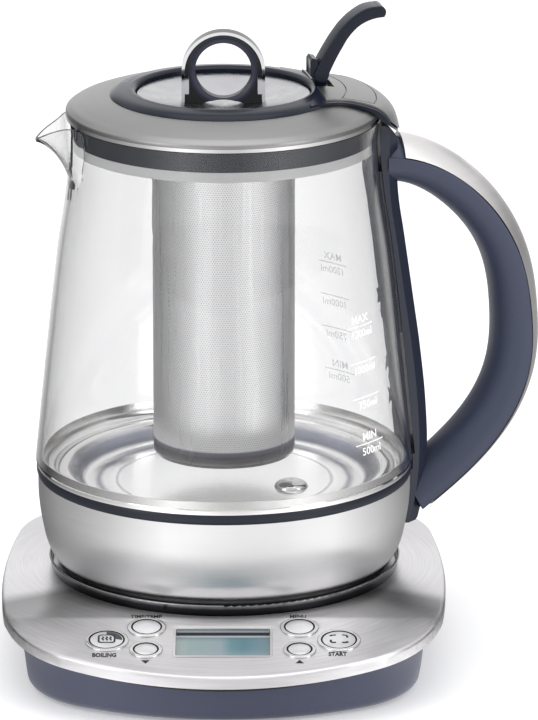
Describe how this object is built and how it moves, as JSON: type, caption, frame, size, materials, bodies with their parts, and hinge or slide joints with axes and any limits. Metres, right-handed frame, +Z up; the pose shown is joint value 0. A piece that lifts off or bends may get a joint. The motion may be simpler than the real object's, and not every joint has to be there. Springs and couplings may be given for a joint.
{
  "type": "automatic tea maker",
  "caption": "Glass tea kettle with a lift-out tea strainer and a folding lid lever, standing on a steel-topped electric base with a display and push buttons.",
  "frame": {"origin": "where the kettle's axis meets the plane that the feet stand on", "axes": "+Z up along the kettle's axis, -Y towards the user and the button panel, +X to the right, where the kettle's handle points"},
  "size_m": [0.2149, 0.2044, 0.2593],
  "materials": {
    "base_plastic": "satin moulded, dark blue-grey",
    "dark_plastic": "satin moulded, near-black blue",
    "button_silver": "satin silver plated",
    "brushed_steel": "brushed",
    "satin_steel": "fine satin",
    "mesh_steel": "finely perforated sheet",
    "polished_steel": "polished",
    "chrome_trim": "mirror plated",
    "screw_steel": "plain zinc plated",
    "cast_aluminium": "as cast",
    "brass": "plated contact",
    "rubber": "matt moulded rubber",
    "seal_silicone": "smooth dark silicone",
    "milky_silicone": "smooth milky silicone",
    "pad_silicone": "ribbed grey silicone",
    "circuit_board": "solder mask",
    "display_glass": "clear lens over a teal display",
    "jug_glass": "clear borosilicate glass"
  },
  "bodies": {
    "base": {"base_housing": "base_plastic", "base_top_plate": "brushed_steel", "base_bottom_cover": "dark_plastic", "rubber_feet": "rubber", "foot_ring": "rubber", "base_screws": "screw_steel", "seat_ring": "polished_steel", "seat_dish": "brushed_steel", "base_connector": "dark_plastic", "connector_contacts": "brass", "display_bezel": "polished_steel", "display_lens": "display_glass", "lcd_module": "dark_plastic", "button_frame": "dark_plastic", "button_rings": "polished_steel", "control_board": "circuit_board", "tact_switches": "dark_plastic", "power_board": "circuit_board", "relay": "dark_plastic", "cord_gland": "rubber"},
    "boiling_button": {"boiling_button": "button_silver"},
    "start_button": {"start_button": "button_silver"},
    "time_button": {"time_button": "button_silver"},
    "menu_button": {"menu_button": "button_silver"},
    "down_button": {"down_button": "button_silver"},
    "up_button": {"up_button": "button_silver"},
    "kettle_connector": {"kettle_connector": "dark_plastic"},
    "kettle": {"glass_jug": "jug_glass", "steel_skirt": "brushed_steel", "skirt_ring": "dark_plastic", "heating_dish": "brushed_steel", "dish_seal": "milky_silicone", "heating_element": "cast_aluminium", "thermal_cutout": "dark_plastic", "sensor_dome": "polished_steel", "kettle_bottom_cover": "dark_plastic", "kettle_screws": "screw_steel", "handle_strap": "dark_plastic", "strap_pad": "pad_silicone", "strap_screw": "screw_steel", "handle_grip": "dark_plastic", "handle_band": "brushed_steel"},
    "lid": {"lid_collar": "satin_steel", "lid_trim": "polished_steel", "lid_plug": "dark_plastic", "lid_seal": "seal_silicone", "lid_ring": "dark_plastic", "tail_cover": "satin_steel", "lever_pin": "screw_steel"},
    "lever": {"lever": "dark_plastic"},
    "strainer": {"strainer_tube": "mesh_steel", "strainer_rim": "polished_steel", "strainer_base": "polished_steel"},
    "cap": {"cap_disc": "polished_steel", "cap_plug": "dark_plastic", "cap_seal": "seal_silicone", "knob_core": "dark_plastic", "knob_band": "chrome_trim", "knob_screws": "screw_steel"}
  },
  "joints": [
    {"name": "boiling_button_press", "type": "slide", "parent": "base", "child": "boiling_button", "axis": [0, 0.1822, -0.9833], "range_m": [0, 0.001], "stiffness_N_per_m": 400, "springref_m": -0.001},
    {"name": "start_button_press", "type": "slide", "parent": "base", "child": "start_button", "axis": [0, 0.1822, -0.9833], "range_m": [0, 0.001], "stiffness_N_per_m": 400, "springref_m": -0.001},
    {"name": "time_button_press", "type": "slide", "parent": "base", "child": "time_button", "axis": [0, 0.1822, -0.9833], "range_m": [0, 0.001], "stiffness_N_per_m": 400, "springref_m": -0.001},
    {"name": "menu_button_press", "type": "slide", "parent": "base", "child": "menu_button", "axis": [0, 0.1822, -0.9833], "range_m": [0, 0.001], "stiffness_N_per_m": 400, "springref_m": -0.001},
    {"name": "down_button_press", "type": "slide", "parent": "base", "child": "down_button", "axis": [0, 0.1822, -0.9833], "range_m": [0, 0.001], "stiffness_N_per_m": 400, "springref_m": -0.001},
    {"name": "up_button_press", "type": "slide", "parent": "base", "child": "up_button", "axis": [0, 0.1822, -0.9833], "range_m": [0, 0.001], "stiffness_N_per_m": 400, "springref_m": -0.001},
    {"name": "kettle_lift", "type": "slide", "parent": "base", "child": "kettle_connector", "axis": [0, 0, 1], "range_m": [0, 0.06]},
    {"name": "kettle_turn", "type": "hinge", "parent": "kettle_connector", "child": "kettle", "pos_m": [0, 0, 0.0415], "axis": [0, 0, 1], "continuous": true},
    {"name": "lid_lift", "type": "slide", "parent": "kettle", "child": "lid", "axis": [0, 0, 1], "range_m": [0, 0.16]},
    {"name": "lever_fold", "type": "hinge", "parent": "lid", "child": "lever", "pos_m": [0.03795, 0.00703, 0.2326], "axis": [-0.1822, 0.9833, 0], "range_deg": [0, 62]},
    {"name": "strainer_lift", "type": "slide", "parent": "lid", "child": "strainer", "axis": [0, 0, 1], "range_m": [0, 0.15]},
    {"name": "cap_lift", "type": "slide", "parent": "strainer", "child": "cap", "axis": [0, 0, 1], "range_m": [0, 0.05]}
  ]
}
